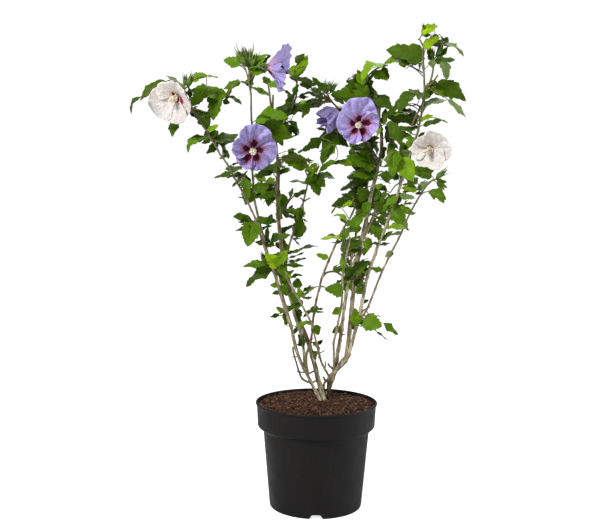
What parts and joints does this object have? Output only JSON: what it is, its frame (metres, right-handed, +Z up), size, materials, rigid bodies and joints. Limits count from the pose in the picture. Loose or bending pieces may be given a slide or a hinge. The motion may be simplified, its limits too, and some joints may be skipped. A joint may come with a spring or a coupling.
{
  "type": "potted hibiscus shrub",
  "caption": "Young hibiscus shrub with many upright stems, toothed leaves and open violet and white blooms, in a tapered nursery pot.",
  "frame": {"origin": "centre of the pot's flat underside, on the surface it stands on", "axes": "+Z up along the pot's axis, -Y the front, from which the crown shows its widest face, +X to the right of that view"},
  "size_m": [0.6235, 0.351, 0.94],
  "materials": {
    "pot_plastic": "matte black moulded plastic",
    "soil": "coarse red-brown bark compost",
    "bark": "smooth grey-brown young bark with leaf scars",
    "leaf": "soft green leaves, satin above and paler below",
    "petal_blue": "thin matte violet-blue petals with a dark red eye",
    "petal_white": "thin matte white petals with a dark red eye"
  },
  "bodies": {
    "root": {"bloom_left": "petal_blue", "bloom_left_white": "petal_white", "bloom_right": "petal_blue", "bloom_right_white": "petal_white", "branch_back_left": "bark", "branch_centre": "bark", "branch_middle": "bark", "foliage_back_left": "leaf", "foliage_back_low": "leaf", "foliage_back_top": "leaf", "foliage_centre": "leaf", "foliage_centre_buds": "leaf", "foliage_cross_foot": "leaf", "foliage_cross_left": "leaf", "foliage_cross_top": "leaf", "foliage_front_low": "leaf", "foliage_inner_low": "leaf", "foliage_inner_top": "leaf", "foliage_left_arm": "leaf", "foliage_left_elbow": "leaf", "foliage_left_foot": "leaf", "foliage_left_low": "leaf", "foliage_left_shoulder": "leaf", "foliage_left_top": "leaf", "foliage_left_top_side": "leaf", "foliage_left_waist": "leaf", "foliage_middle_foot": "leaf", "foliage_middle_top": "leaf", "foliage_middle_upper": "leaf", "foliage_middle_waist": "leaf", "foliage_pale_low": "leaf", "foliage_pale_top": "leaf", "foliage_right_crown": "leaf", "foliage_right_foot": "leaf", "foliage_right_heart": "leaf", "foliage_right_outer": "leaf", "foliage_right_shoulder": "leaf", "foliage_right_top": "leaf", "foliage_right_upper": "leaf", "foliage_right_waist": "leaf", "foliage_thick_heart": "leaf", "foliage_thick_low": "leaf", "foliage_thick_top": "leaf", "pot": "pot_plastic", "soil": "soil", "stem_back": "bark", "stem_cross_left": "bark", "stem_cross_right": "bark", "stem_left_outer": "bark", "stem_left_tall": "bark", "stem_middle": "bark", "stem_pale": "bark", "stem_right_front": "bark", "stem_right_inner": "bark", "stem_right_outer": "bark", "stem_right_tall": "bark", "stem_right_thick": "bark", "trunk_right": "bark"}
  },
  "joints": []
}
